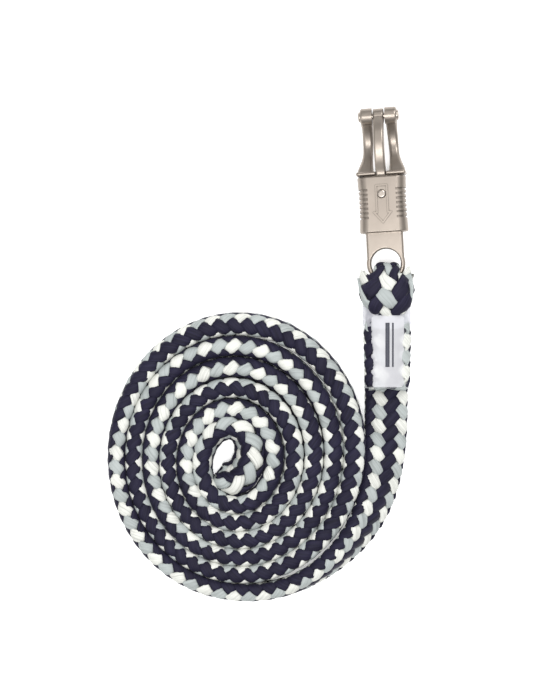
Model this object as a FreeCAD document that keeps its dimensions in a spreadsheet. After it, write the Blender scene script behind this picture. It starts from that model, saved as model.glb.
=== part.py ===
import FreeCAD, Part
import math
import os
import Sketcher
from FreeCAD import Placement, Rotation, Vector

# Lead rope: a flat braided rope wound into a disc, with a quick-release snap spliced to its end.
# Millimetres. +Z is up from the table, +Y runs along the snap from its eye to its jaw, +X is to the
# right seen from above. The origin is on the table under the middle of the snap.
# The snap's pieces are drawn about its own axis, level and at height 0, and then placed: lifted to
# axis_height and rolled about Y, because the snap leans on one arm as it lies.

SIZES = [
    # the snap as it lies
    ("snap_roll", -8.0, "degrees the snap leans about its own axis"),
    ("axis_height", 11.98, "snap axis above the table"),
    # fork: two arms that carry the pivot and curve back to make the jaw
    ("pivot_y", 46.0, "jaw pivot along the axis"),
    ("boss_radius", 4.9, "pivot boss"),
    ("boss_outer", 10.6, "outer face of a boss from the middle"),
    ("fork_gap", 3.75, "inner face of a boss from the middle"),
    ("shoulder_half", 14.4, "half width of the shoulder"),
    ("shoulder_base", 11.3, "shoulder face above the sleeve"),
    ("shoulder_tall", 2.3, "length of the shoulder along the axis"),
    ("shoulder_deep", 13.4, "shoulder front to back"),
    ("shoulder_round", 1.1, "rounding of the shoulder"),
    ("lever_notch", 3.5, "half width of the notch that the lever drops into"),
    ("notch_floor", 2.1, "floor of that notch above the axis"),
    # shank and eye
    ("shank_half", 10.75, "half width of the shank"),
    ("shank_thick", 5.0, "thickness of shank and eye"),
    ("plate_round", 1.3, "rounding of the plate's edges"),
    ("eye_y", -39.7, "centre of the eye"),
    ("eye_outer", 11.2, "outer radius of the eye"),
    ("eye_hole", 8.6, "radius of the eye's hole"),
    ("hole_round", 1.0, "rounding of the eye's hole"),
    ("slot_half", 2.3, "half width of the slot for the cross pin"),
    ("slot_low", -20.0, "lower end of the slot"),
    ("slot_high", 1.9, "upper end of the slot"),
    # jaw lever and its pivot pin
    ("lever_half", 3.0, "half width of the lever"),
    ("lever_boss", 4.4, "radius of the lever round the pivot"),
    ("pin_radius", 1.9, "jaw pivot pin"),
    ("pin_play", 0.05, "running clearance of the lever on the pin"),
    ("head_radius", 3.0, "heads of the pivot pin"),
    ("head_tall", 1.2, "how far each head stands out"),
    ("head_round", 0.9, "rounding of the pin's heads"),
    # release sleeve
    ("sleeve_half", 14.05, "half width of the sleeve at its ends"),
    ("sleeve_waist", 13.6, "half width of the sleeve at its middle"),
    ("sleeve_deep", 14.0, "sleeve front to back"),
    ("sleeve_low", -21.7, "lower rim of the sleeve"),
    ("sleeve_high", 10.6, "upper rim of the sleeve"),
    ("sleeve_corner", 5.5, "rounding of the sleeve's sides"),
    ("sleeve_rim", 0.8, "rounding of the sleeve's rims"),
    ("bore_half", 11.0, "half width of the passage for the shank"),
    ("bore_deep", 5.6, "passage front to back"),
    ("groove_low", -13.75, "lower edge of the lowest grip groove"),
    ("groove_tall", 1.3, "width of a grip groove"),
    ("groove_pitch", 2.67, "spacing of the grip grooves"),
    ("groove_count", 7, "grip grooves on each side"),
    ("groove_depth", 0.65, "depth of a grip groove at the waist"),
    ("arrow_raise", 0.5, "height of the raised arrow"),
    ("arrow_line", 0.9, "width of the arrow's outline"),
    ("arrow_shaft", 3.6, "half width of the arrow's shaft"),
    ("arrow_barb", 5.75, "half width of the arrow's head"),
    ("arrow_top", 5.8, "upper end of the arrow"),
    ("arrow_neck", -9.9, "where the arrow's head begins"),
    ("arrow_tip", -16.7, "tip of the arrow"),
    ("arrow_blunt", 0.05, "half width of the arrow's very tip"),
    # cross pin and return spring
    ("stud_y", 0.3, "cross pin along the axis"),
    ("stud_radius", 1.5, "cross pin"),
    ("stud_head", 2.65, "radius of the cross pin's domed head"),
    ("stud_tall", 1.4, "height of that head"),
    ("spring_radius", 1.65, "return spring, to the middle of its wire"),
    ("spring_wire", 0.3, "radius of the spring's wire"),
    ("spring_turns", 9, "coils of the return spring"),
    # rope
    ("rope_wide", 24.0, "rope across its flat"),
    ("rope_thick", 10.0, "rope through its flat"),
    ("twist_start", 25.0, "length along the lead where the rope begins to turn on edge"),
    ("twist_length", 158.0, "length over which it turns on edge"),
    # splice
    ("splice_lean", -3.0, "degrees the splice turns from the snap's axis"),
    ("loop_radius", 7.6, "rope's middle round the eye's bar"),
    ("loop_wide", 13.8, "rope squeezed in the eye"),
    ("loop_thick", 6.6, "rope squeezed round the bar"),
    ("film_half", 13.5, "half width of the shrink sleeve"),
    ("film_tall", 18.8, "height of the shrink sleeve"),
    ("film_wall", 0.5, "wall of the shrink sleeve"),
    ("film_corner", 4.0, "rounding of the shrink sleeve"),
    ("film_start", -19.6, "mouth of the shrink sleeve from the eye's bar"),
    ("film_long", 42.8, "length of the shrink sleeve"),
    ("label_half", 9.5, "half width of the label"),
    ("label_long", 41.5, "length of the label"),
    ("label_thick", 0.25, "thickness of the label"),
    ("label_round", 1.5, "rounding of the label's corners"),
    ("label_gap", 0.6, "from the sleeve's mouth to the label"),
    ("stitch_radius", 0.6, "splice thread"),
    ("stitch_foot", 0.9, "lower end of each stitch"),
    ("stitch_tall", 16.7, "height of each stitch"),
    ("stitch_spread", 6.5, "stitch rows from the middle"),
    ("stitch_first", -27.0, "first stitch from the eye's bar"),
    ("stitch_pitch", 9.5, "spacing of the stitches"),
    ("stitch_count", 4, "stitches in a row"),
    # coil: semi-axes and middle of the spiral of the rope's middle, and what each loses or gains a turn
    ("coil_turn", -3.0, "degrees that the spiral's axes are turned"),
    ("coil_x", -90.1, "middle of the outermost turn"),
    ("coil_y", -144.6, "middle of the outermost turn"),
    ("coil_wide", 73.7, "half the outermost turn across"),
    ("coil_long", 79.9, "half the outermost turn along"),
    ("coil_wide_step", 10.6, "loss of coil_wide a turn"),
    ("coil_long_step", 11.0, "loss of coil_long a turn"),
    ("coil_x_step", -0.75, "shift of the middle a turn"),
    ("coil_y_step", -1.04, "shift of the middle a turn"),
    ("coil_round", 3.0, "rounding of the coil's rim"),
]

# The rope's middle from the shrink sleeve to the coil, seen from above: control points of its route.
LEAD_ROUTE = [
    (-3.3, -112.0),
    (-4.5, -133.8),
    (-7.3, -155.5),
    (-12.9, -176.5),
    (-23.0, -195.5),
    (-37.8, -210.6),
    (-55.4, -221.3),
    (-74.5, -225.85),
]

# How much of the shorter run beside a corner of that route its arc uses.
ROUNDED_SHARE = 0.45

# Rounding of the arms' and the lever's sections.
ARM_CORNER = 1.7
LEVER_CORNER = 1.2

# Fork arm: along the axis, inner face, outer face, middle in height, thickness.
ARM_STATIONS = [
    (12.4, 4.3, 14.2, 0.0, 6.2),
    (15.8, 4.7, 13.4, -2.4, 6.0),
    (20.7, 4.9, 11.5, -5.6, 5.6),
    (27.0, 4.7, 10.4, -8.2, 5.0),
    (32.5, 4.4, 10.3, -8.0, 5.2),
    (37.6, 4.2, 10.2, -6.0, 6.2),
    (41.6, 4.0, 10.4, -3.0, 7.4),
    (46.0, 3.75, 9.8, 0.0, 7.6),
]

# Jaw lever: along the axis, middle in height, thickness.
LEVER_STATIONS = [
    (11.35, 4.5, 3.9),
    (13.6, 4.7, 4.4),
    (18.0, 6.5, 5.2),
    (23.5, 8.2, 5.2),
    (30.0, 8.9, 5.0),
    (36.5, 7.6, 5.4),
    (41.5, 4.4, 6.4),
    (46.0, 0.2, 7.6),
]

# Where the bend round the bar ends, above and below: axis_height plus and minus loop_radius,
# leaned by snap_roll.
LOOP_TOP, LOOP_FOOT = 19.506, 4.454

# Tail of the rope, over the top of the eye's bar and back into the shrink sleeve: from the bar,
# height, width, thickness, roll in degrees. It starts with the snap's roll and levels out.
TAIL_STATIONS = [
    (0.0, LOOP_TOP, 13.8, 6.6, -8.0),
    (-6.0, 20.2, 25.0, 8.2, -5.0),
    (-11.5, 19.6, 31.0, 9.0, -2.0),
    (-16.0, 17.4, 29.0, 9.0, 0.0),
    (-19.3, 14.2, 24.6, 8.0, 0.0),
    (-26.0, 13.9, 24.0, 8.0, 0.0),
    (-56.0, 13.9, 24.0, 8.0, 0.0),
    (-58.5, 13.0, 20.0, 5.0, 0.0),
]

# Standing part of the rope, under the bar to the end of the shrink sleeve, in the same terms.
STANDING_STATIONS = [
    (0.0, LOOP_FOOT, 13.8, 6.6, -8.0),
    (-8.0, 5.1, 21.0, 8.4, -2.0),
    (-16.0, 5.1, 24.0, 9.0, 0.0),
    (-62.4, 5.1, 24.0, 9.0, 0.0),
]

doc = FreeCAD.newDocument("LeadRope")
sizes = doc.addObject("Spreadsheet::Sheet", "Sizes")
for row, (alias, value, meaning) in enumerate(SIZES, start=1):
    sizes.set(f"A{row}", alias)
    sizes.set(f"B{row}", str(value))
    sizes.set(f"C{row}", meaning)
    sizes.setAlias(f"B{row}", alias)
doc.recompute()

SIDEWAYS = Rotation(Vector(0, 1, 0), 90)


def size(alias):
    """The number that the sheet holds under this alias."""
    return float(sizes.get(alias))


def cell(expression):
    """An expression with its sheet aliases written in full."""
    for alias in sorted((entry[0] for entry in SIZES), key=len, reverse=True):
        expression = expression.replace(f"<{alias}>", f"Sizes.{alias}")
    return expression


def place_by(item, at):
    """Binds an object's place to three expressions."""
    for axis, expression in zip("xyz", at):
        item.setExpression(f"Placement.Base.{axis}", cell(expression))


def cylinder(name, radius, length, at, rotation=Rotation()):
    item = doc.addObject("Part::Cylinder", name)
    item.setExpression("Radius", cell(radius))
    item.setExpression("Height", cell(length))
    item.Placement = Placement(Vector(), rotation)
    place_by(item, at)
    return item


def box(name, extents, at):
    item = doc.addObject("Part::Box", name)
    for side, expression in zip(("Length", "Width", "Height"), extents):
        item.setExpression(side, cell(expression))
    place_by(item, at)
    return item


def drawn(name, shape):
    """A shape made by Part's own functions, kept in the document."""
    item = doc.addObject("Part::Feature", name)
    item.Shape = shape
    return item


def fused(name, items):
    item = doc.addObject("Part::MultiFuse", name)
    item.Shapes = items
    item.Refine = True
    return item


def cut(name, base, tool):
    item = doc.addObject("Part::Cut", name)
    item.Base, item.Tool = base, tool
    item.Refine = True
    return item


def rounded(name, base, radius, wanted):
    """The base with every edge that `wanted` accepts rounded."""
    doc.recompute()
    item = doc.addObject("Part::Fillet", name)
    item.Base = base
    item.Edges = [
        (number, size(radius), size(radius))
        for number, edge in enumerate(base.Shape.Edges, start=1)
        if wanted(edge)
    ]
    return item


def curve_is(edge, kind):
    """True for an edge on a curve of this kind; an edge where surfaces cross may have none."""
    try:
        return isinstance(edge.Curve, kind)
    except TypeError:
        return False


def along(axis):
    """Accepts the straight edges that run along this axis."""
    def test(edge):
        straight = curve_is(edge, Part.Line)
        return straight and abs(edge.tangentAt(edge.FirstParameter).dot(axis)) > 0.999
    return test


def origin_plane(body, role):
    return next(item for item in body.Origin.OriginFeatures if item.Role == role)


def sketch_on(body, name, role, offset="0 mm"):
    """A sketch on one of the body's own origin planes, or parallel to it."""
    sketch = body.newObject("Sketcher::SketchObject", name)
    sketch.AttachmentSupport = [(origin_plane(body, role), "")]
    sketch.MapMode = "FlatFace"
    sketch.setExpression("AttachmentOffset.Base.z", cell(offset))
    return sketch


def add_outline(sketch, corners):
    """Adds a closed outline of straight edges whose corners are pairs of expressions."""
    first = sketch.GeometryCount
    count = len(corners)
    turn = 2 * math.pi / count
    rough = [Vector(math.cos(turn * i), math.sin(turn * i), 0) for i in range(count)]
    for i in range(count):
        sketch.addGeometry(Part.LineSegment(rough[i], rough[(i + 1) % count]), False)
    for i, corner in enumerate(corners):
        line, following = first + i, first + (i + 1) % count
        sketch.addConstraint(Sketcher.Constraint("Coincident", line, 2, following, 1))
        for kind, guess, expression in zip(("DistanceX", "DistanceY"), rough[i], corner):
            number = sketch.addConstraint(Sketcher.Constraint(kind, -1, 1, line, 1, guess))
            sketch.setExpression(f"Constraints[{number}]", cell(expression))


def add_circle(sketch, middle, radius):
    """Adds a circle whose middle and radius are expressions."""
    number = sketch.addGeometry(Part.Circle(Vector(1, 1, 0), Vector(0, 0, 1), 1.0), False)
    for kind, expression in zip(("DistanceX", "DistanceY"), middle):
        rule = sketch.addConstraint(Sketcher.Constraint(kind, -1, 1, number, 3, 1.0))
        sketch.setExpression(f"Constraints[{rule}]", cell(expression))
    rule = sketch.addConstraint(Sketcher.Constraint("Radius", number, 1.0))
    sketch.setExpression(f"Constraints[{rule}]", cell(radius))


def mirrored_corners(half):
    """Corners given for x > 0 from top to bottom, closed by their mirror image."""
    other = [(f"-({x})", y) for x, y in reversed(half)]
    return half + other


def pad(body, name, sketch, length, midplane=False):
    item = body.newObject("PartDesign::Pad", name)
    item.Profile = sketch
    item.setExpression("Length", cell(length))
    if midplane:
        item.SideType = "Symmetric"
    return item


def pocket_through(body, name, sketch):
    item = body.newObject("PartDesign::Pocket", name)
    item.Profile = sketch
    item.Type = "ThroughAll"
    item.SideType = "Symmetric"
    return item


def body_fillet(body, name, base, radius, wanted):
    """A PartDesign fillet of every edge of the base that `wanted` accepts."""
    doc.recompute()
    names = [f"Edge{i}" for i, edge in enumerate(base.Shape.Edges, start=1) if wanted(edge)]
    item = body.newObject("PartDesign::Fillet", name)
    item.Base = (base, names)
    item.setExpression("Radius", cell(radius))
    return item


def turned_body(label, sketch_corners, role="XY_Plane"):
    """A body turned about the sketch's horizontal axis."""
    body = doc.addObject("PartDesign::Body", label)
    sketch = sketch_on(body, f"{label}_profile", role)
    add_outline(sketch, sketch_corners)
    turned = body.newObject("PartDesign::Revolution", f"{label}_turned")
    turned.Profile = sketch
    turned.ReferenceAxis = (sketch, ["H_Axis"])
    turned.Angle = 360
    return body, turned


# ---- sections -------------------------------------------------------------------------------


def rounded_rectangle(y, left, right, low, high, corner):
    """A rounded rectangle in the plane of this y."""
    bend = corner * (1 - math.sqrt(0.5))
    wire = []
    runs = [
        ((left + corner, low), (right - corner, low), (right - bend, low + bend)),
        ((right, low + corner), (right, high - corner), (right - bend, high - bend)),
        ((right - corner, high), (left + corner, high), (left + bend, high - bend)),
        ((left, high - corner), (left, low + corner), (left + bend, low + bend)),
    ]
    for i, (start, end, middle) in enumerate(runs):
        following = runs[(i + 1) % len(runs)][0]
        start, end, middle, following = (Vector(x, y, z) for x, z in (start, end, middle, following))
        wire.append(Part.LineSegment(start, end).toShape())
        wire.append(Part.Arc(end, middle, following).toShape())
    return Part.Wire(wire)


def flat_section(middle, across, through, wide, thick):
    """A flat rope's section: two straight sides and two half-round edges."""
    reach = across * (wide / 2 - thick / 2)
    half = through * (thick / 2)
    tip = across * (wide / 2)
    right = Part.Arc(middle + reach - half, middle + tip, middle + reach + half)
    left = Part.Arc(middle - reach + half, middle - tip, middle - reach - half)
    return Part.Wire([
        Part.LineSegment(middle - reach - half, middle + reach - half).toShape(),
        right.toShape(),
        Part.LineSegment(middle + reach + half, middle - reach + half).toShape(),
        left.toShape(),
    ])


def section_area(wide, thick):
    """Area of that section."""
    return (wide - thick) * thick + math.pi * thick * thick / 4


# ---- snap -----------------------------------------------------------------------------------


def arm_shape(side):
    """One fork arm, on the right for side 1 and on the left for side -1."""
    wires = []
    for y, inner, outer, middle, thick in ARM_STATIONS:
        left, right = sorted((side * inner, side * outer))
        wires.append(
            rounded_rectangle(y, left, right, middle - thick / 2, middle + thick / 2, ARM_CORNER)
        )
    return Part.makeLoft(wires, True, False)


def make_snap_frame():
    arms = [drawn(f"arm_{n}", arm_shape(side)) for n, side in enumerate((-1, 1))]
    bosses = []
    for n, left in enumerate(("-<boss_outer>", "<fork_gap>")):
        boss = cylinder(f"boss_{n}", "<boss_radius>", "<boss_outer> - <fork_gap>",
                        (left, "<pivot_y>", "0 mm"), SIDEWAYS)
        bosses.append(rounded(f"boss_round_{n}", boss, "plate_round", outer_rim))
    shoulder = rounded(
        "shoulder_round_off",
        box("shoulder", ("2 * <shoulder_half>", "<shoulder_tall>", "<shoulder_deep>"),
            ("-<shoulder_half>", "<shoulder_base>", "-<shoulder_deep> / 2")),
        "shoulder_round", lambda edge: True,
    )
    shank = rounded(
        "shank_round",
        box("shank", ("2 * <shank_half>", "<shoulder_base> + 1 - <eye_y>", "<shank_thick>"),
            ("-<shank_half>", "<eye_y>", "-<shank_thick> / 2")),
        "plate_round", along(Vector(0, 1, 0)),
    )
    disc = rounded(
        "eye_disc_round",
        cylinder("eye_disc", "<eye_outer>", "<shank_thick>",
                 ("0 mm", "<eye_y>", "-<shank_thick> / 2")),
        "plate_round", lambda edge: curve_is(edge, Part.Circle),
    )
    whole = fused("frame_blank", arms + bosses + [shoulder, shank, disc])
    tools = fused("frame_tools", [
        cylinder("eye_cutter", "<eye_hole>", "2 * <shank_thick>",
                 ("0 mm", "<eye_y>", "-<shank_thick>")),
        cylinder("pivot_cutter", "<pin_radius>", "4 * <boss_outer>",
                 ("-2 * <boss_outer>", "<pivot_y>", "0 mm"), SIDEWAYS),
        box("notch_cutter", ("2 * <lever_notch>", "3 * <shoulder_tall>", "<shoulder_deep>"),
            ("-<lever_notch>", "<shoulder_base> - <shoulder_tall>", "<notch_floor>")),
        box("slot_cutter",
            ("2 * <slot_half>", "<slot_high> - <slot_low>", "2 * <shank_thick>"),
            ("-<slot_half>", "<slot_low>", "-<shank_thick>")),
    ])
    bored = cut("frame_bored", whole, tools)
    return rounded("snap_frame", bored, "hole_round", at_eye_hole)


def outer_rim(edge):
    """Accepts the circle at the outer face of a boss."""
    on_circle = curve_is(edge, Part.Circle)
    return on_circle and abs(abs(edge.CenterOfMass.x) - size("boss_outer")) < 0.01


def at_eye_hole(edge):
    """Accepts the two rims of the eye's hole."""
    if not curve_is(edge, Part.Circle):
        return False
    centred = abs(edge.Curve.Center.y - size("eye_y")) < 0.01
    return centred and abs(edge.Curve.Radius - size("eye_hole")) < 0.01


def make_jaw_lever():
    half = size("lever_half")
    wires = [
        rounded_rectangle(y, -half, half, middle - thick / 2, middle + thick / 2, LEVER_CORNER)
        for y, middle, thick in LEVER_STATIONS
    ]
    blade = drawn("lever_blade", Part.makeLoft(wires, True, False))
    boss = rounded(
        "lever_boss_round",
        cylinder("lever_boss", "<lever_boss>", "2 * <lever_half>",
                 ("-<lever_half>", "<pivot_y>", "0 mm"), SIDEWAYS),
        "sleeve_rim", lambda edge: curve_is(edge, Part.Circle),
    )
    bore = cylinder("lever_bore", "<pin_radius> + <pin_play>", "4 * <lever_half>",
                    ("-2 * <lever_half>", "<pivot_y>", "0 mm"), SIDEWAYS)
    return cut("jaw_lever", fused("lever_blank", [blade, boss]), bore)


def make_pivot_pin():
    reach = "<boss_outer> + <head_tall>"
    body, turned = turned_body("jaw_pivot_pin", [
        (f"-({reach})", "0 mm"), (reach, "0 mm"), (reach, "<head_radius>"),
        ("<boss_outer>", "<head_radius>"), ("<boss_outer>", "<pin_radius>"),
        ("-<boss_outer>", "<pin_radius>"), ("-<boss_outer>", "<head_radius>"),
        (f"-({reach})", "<head_radius>"),
    ])
    end = size("boss_outer") + size("head_tall")
    body_fillet(body, "head_rounds", turned, "<head_round>", lambda edge: (
        curve_is(edge, Part.Circle) and abs(abs(edge.CenterOfMass.x) - end) < 0.01
    ))
    return body


def make_release_sleeve():
    body = doc.addObject("PartDesign::Body", "release_sleeve")
    front = sketch_on(body, "sleeve_front", "XY_Plane")
    add_outline(front, mirrored_corners([
        ("<sleeve_half>", "<sleeve_high>"), ("<sleeve_waist>", "0 mm"),
        ("<sleeve_waist>", "<sleeve_low> / 2"), ("<sleeve_half>", "<sleeve_low>"),
    ]))
    block = pad(body, "sleeve_block", front, "<sleeve_deep>", midplane=True)
    side = size("sleeve_waist") - 0.1

    def on_side(edge):
        middle = edge.CenterOfMass
        return abs(middle.x) > side and abs(middle.z) > 1 and edge.Length > 5

    sides = body_fillet(body, "sleeve_sides", block, "<sleeve_corner>", on_side)
    body_fillet(body, "sleeve_rims", sides, "<sleeve_rim>", at_sleeve_end)
    passage = sketch_on(body, "passage_outline", "XZ_Plane")
    add_outline(passage, mirrored_corners([
        ("<bore_half>", "<bore_deep> / 2"), ("<bore_half>", "-<bore_deep> / 2"),
    ]))
    pocket_through(body, "passage", passage)
    hole = sketch_on(body, "stud_outline", "XY_Plane")
    add_circle(hole, ("0 mm", "<stud_y>"), "<stud_radius>")
    pocket_through(body, "stud_hole", hole)
    arrow = sketch_on(body, "arrow_outline", "XY_Plane", "<sleeve_deep> / 2 - 0.1")
    add_outline(arrow, mirrored_corners([
        ("<arrow_shaft>", "<arrow_top>"), ("<arrow_shaft>", "<arrow_neck>"),
        ("<arrow_barb>", "<arrow_neck>"), ("<arrow_blunt>", "<arrow_tip>"),
    ]))
    add_outline(arrow, mirrored_corners([
        ("<arrow_shaft> - <arrow_line>", "<arrow_top> - <arrow_line>"),
        ("<arrow_shaft> - <arrow_line>", "<arrow_neck> - <arrow_line>"),
        ("<arrow_barb> - 2.2 * <arrow_line>", "<arrow_neck> - <arrow_line>"),
        ("<arrow_blunt>", "<arrow_tip> + 1.5 * <arrow_line>"),
    ]))
    pad(body, "arrow", arrow, "<arrow_raise> + 0.1")
    add_grip_grooves(body)
    return body


def at_sleeve_end(edge):
    """Accepts the edges of the sleeve's two end faces."""
    middle = edge.BoundBox
    flat = middle.YLength < 0.01
    ends = (size("sleeve_low"), size("sleeve_high"))
    return flat and any(abs(middle.YMin - end) < 0.01 for end in ends)


def add_grip_grooves(body):
    """Grooves that wrap each side of the sleeve."""
    sketch = sketch_on(body, "groove_outline", "XZ_Plane", "-<groove_low>")
    corner = size("sleeve_corner") - size("groove_depth")
    edge = size("sleeve_waist") - size("groove_depth")
    face = size("sleeve_deep") / 2 - size("groove_depth")
    start, turn = edge - corner, face - corner
    beyond = size("sleeve_half") + 3
    slant = corner * math.sqrt(0.5)
    for side in (1, -1):
        def at(x, z):
            return Vector(side * x, z, 0)
        path = [at(start, face), at(start, beyond), at(beyond, beyond), at(beyond, -beyond),
                at(start, -beyond), at(start, -face)]
        for a, b in zip(path, path[1:]):
            sketch.addGeometry(Part.LineSegment(a, b), False)
        low = Part.Arc(at(start, -face), at(start + slant, -turn - slant), at(edge, -turn))
        high = Part.Arc(at(edge, turn), at(start + slant, turn + slant), at(start, face))
        sketch.addGeometry(low, False)
        sketch.addGeometry(Part.LineSegment(at(edge, -turn), at(edge, turn)), False)
        sketch.addGeometry(high, False)
    groove = body.newObject("PartDesign::Pocket", "grip_groove")
    groove.Profile = sketch
    groove.setExpression("Length", cell("<groove_tall>"))
    pattern = body.newObject("PartDesign::LinearPattern", "grip_grooves")
    pattern.Originals = [groove]
    pattern.Direction = (origin_plane(body, "Y_Axis"), [""])
    pattern.setExpression("Length", cell("(<groove_count> - 1) * <groove_pitch>"))
    pattern.setExpression("Occurrences", cell("<groove_count>"))
    body.Tip = pattern


def make_sleeve_stud():
    """The cross pin, turned about its own axis and stood up through the sleeve."""
    foot, face = "-<sleeve_deep> / 2", "<sleeve_deep> / 2"
    top = f"{face} + <stud_tall>"
    body, turned = turned_body("sleeve_stud", [
        (foot, "0 mm"), (top, "0 mm"), (top, "<stud_head>"), (face, "<stud_head>"),
        (face, "<stud_radius>"), (foot, "<stud_radius>"),
    ])
    end = size("sleeve_deep") / 2 + size("stud_tall")
    body_fillet(body, "stud_dome", turned, "<stud_tall> - 0.2", lambda edge: (
        curve_is(edge, Part.Circle) and abs(edge.CenterOfMass.x - end) < 0.01
    ))
    return body


def make_return_spring():
    """A round-wire coil between the lower end of the slot and the cross pin."""
    wire = size("spring_wire")
    low = size("slot_low") + wire
    high = size("stud_y") - size("stud_radius") - wire
    radius = size("spring_radius")
    pitch = (high - low) / size("spring_turns")
    helix = Part.makeHelix(pitch, high - low, radius)
    section = Part.Wire(Part.makeCircle(wire, Vector(radius, 0, 0), Vector(0, 1, 0)))
    return drawn("return_spring", Part.Wire(helix).makePipeShell([section], True, True))


# ---- rope -----------------------------------------------------------------------------------


def lofted(stations):
    """The rope through these stations along Y, laid flat, as one solid."""
    wires = []
    for y, z, wide, thick, roll in stations:
        turned = Rotation(Vector(0, 1, 0), roll)
        across, through = turned.multVec(Vector(1, 0, 0)), turned.multVec(Vector(0, 0, 1))
        x = (z - size("axis_height")) * math.tan(math.radians(roll))
        wires.append(flat_section(Vector(x, y, z), across, through, wide, thick))
    return Part.makeLoft(wires, True, True)


def eye_loop_shape():
    """The rope through the snap's eye: half a turn round the bar, then both legs of the splice."""
    turned = Rotation(Vector(0, 1, 0), size("snap_roll"))
    bar, up = turned.multVec(Vector(1, 0, 0)), turned.multVec(Vector(0, 0, 1))
    middle = Vector(0, 0, size("axis_height"))
    section = Part.Face(flat_section(
        middle - up * size("loop_radius"), bar, up, size("loop_wide"), size("loop_thick"),
    ))
    bend = section.revolve(middle, bar, 180)
    legs = [lofted(TAIL_STATIONS), lofted(STANDING_STATIONS)]
    return bend.fuse(legs).removeSplitter()


def stitch_shapes():
    """Two rows of thread through both legs of the splice."""
    posts = []
    for side in (-1, 1):
        for n in range(int(size("stitch_count"))):
            foot = Vector(side * size("stitch_spread"),
                          size("stitch_first") - n * size("stitch_pitch"), size("stitch_foot"))
            posts.append(Part.makeCylinder(size("stitch_radius"), size("stitch_tall"), foot))
    return posts


def film_shape():
    """The clear shrink sleeve round both legs."""
    half, tall = size("film_half"), size("film_tall")
    wall, corner = size("film_wall"), size("film_corner")
    start, long = size("film_start"), size("film_long")
    outside = Part.Face(rounded_rectangle(start, -half, half, 0, tall, corner))
    inside = Part.Face(rounded_rectangle(
        start, wall - half, half - wall, wall, tall - wall, corner - wall,
    ))
    return outside.cut(inside).extrude(Vector(0, -long, 0))


def make_label():
    label = box("label_blank", ("2 * <label_half>", "<label_long>", "<label_thick>"),
                ("-<label_half>", "<film_start> - <label_long> - <label_gap>", "<film_tall>"))
    return rounded("splice_label", label, "label_round", along(Vector(0, 0, 1)))


def spiral_point(turns, outward=0.0):
    """The coil's middle line this many turns in from its outer end, or a line outward of it."""
    def middle(n):
        phase = 2 * math.pi * n
        wide = size("coil_wide") - size("coil_wide_step") * n
        long = size("coil_long") - size("coil_long_step") * n
        return Vector(size("coil_x_step") * n - wide * math.sin(phase),
                      size("coil_y_step") * n - long * math.cos(phase), 0)

    little = 1e-4
    ahead = (middle(turns + little) - middle(turns - little)).normalize()
    left = Vector(-ahead.y, ahead.x, 0)
    point = middle(turns) + left * outward
    point = Rotation(Vector(0, 0, 1), size("coil_turn")).multVec(point)
    return point + Vector(size("coil_x"), size("coil_y"), 0)


def coil_shape():
    """The coil's outer shape: one turn of the spiral's outer edge, closed by a step."""
    half = size("rope_thick") / 2
    steps = 36
    rim = Part.BSplineCurve()
    rim.interpolate([spiral_point(n / steps, half) for n in range(steps + 1)])
    step = Part.LineSegment(spiral_point(1, half), spiral_point(0, half))
    face = Part.Face(Part.Wire([rim.toShape(), step.toShape()]))
    disc = face.extrude(Vector(0, 0, size("rope_wide")))
    long_rims = [edge for edge in disc.Edges if edge.Length > 100]
    return disc.makeFillet(size("coil_round"), long_rims)


def route_pieces(points):
    """Straight runs joined by tangent arcs, as (start, end) or (start, end, middle, angle)."""
    pieces, here = [], points[0]
    for before, corner, after in zip(points, points[1:], points[2:]):
        arriving, leaving = corner - before, after - corner
        turn = arriving.getAngle(leaving)
        reach = ROUNDED_SHARE * min(arriving.Length, leaving.Length)
        radius = reach / math.tan(turn / 2)
        side = 1 if arriving.cross(leaving).z > 0 else -1
        start = corner - arriving.normalize() * reach
        end = corner + leaving.normalize() * reach
        normal = Vector(-arriving.y, arriving.x, 0) * side
        pieces += [("run", here, start), ("arc", start, start + normal * radius, side * turn)]
        print(f"turn {math.degrees(turn):5.1f} degrees, radius {radius:6.1f} mm")
        here = end
    return pieces + [("run", here, points[-1])]


def lead_stations(points):
    """(place, direction) at the ends of each run and along each arc."""
    stations = []
    for kind, start, other, *angle in route_pieces(points):
        if kind == "run":
            direction = (other - start).normalize()
            stations += [(start, direction), (other, direction)]
            continue
        direction = (start - other).normalize()
        for n in range(1, 4):
            spin = Rotation(Vector(0, 0, 1), math.degrees(angle[0]) * n / 4)
            arm = spin.multVec(start - other)
            across = spin.multVec(direction)
            ahead = Vector(-across.y, across.x, 0) * (1 if angle[0] > 0 else -1)
            stations.append((other + arm, ahead))
    return stations


def lead_shape():
    """The uncoiled rope: flat beside the splice and turned on edge by the time it meets the coil."""
    points = [Vector(x, y, 0) for x, y in LEAD_ROUTE] + [spiral_point(0)]
    wide, thick = size("rope_wide"), size("rope_thick")
    wires, length, last = [], 0.0, None
    for place, ahead in lead_stations(points):
        if last is not None:
            gap = (place - last).Length
            if gap < 0.01:
                continue
            length += gap
        last = place
        share = min(max((length - size("twist_start")) / size("twist_length"), 0), 1)
        tilt = math.radians(90 * math.sin(math.pi / 2 * share))
        level = Vector(ahead.y, -ahead.x, 0)
        across = level * math.cos(tilt) + Vector(0, 0, math.sin(tilt))
        through = ahead.cross(across) * -1
        lift = (wide - thick) / 2 * math.sin(tilt) + thick / 2
        wires.append(flat_section(place + Vector(0, 0, lift), across, through, wide, thick))
    shape = Part.makeLoft(wires, True, True)
    expected = section_area(wide, thick) * length
    print(f"lead: length {length:.1f} mm, volume {shape.Volume:.0f} for {expected:.0f} mm3")
    return shape


def coil_length(turns):
    """Length of the coil's middle line."""
    steps = 72
    points = [spiral_point(n / steps) for n in range(int(turns * steps) + 1)]
    return sum((b - a).Length for a, b in zip(points, points[1:]))


# ---- assembly -------------------------------------------------------------------------------

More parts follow.
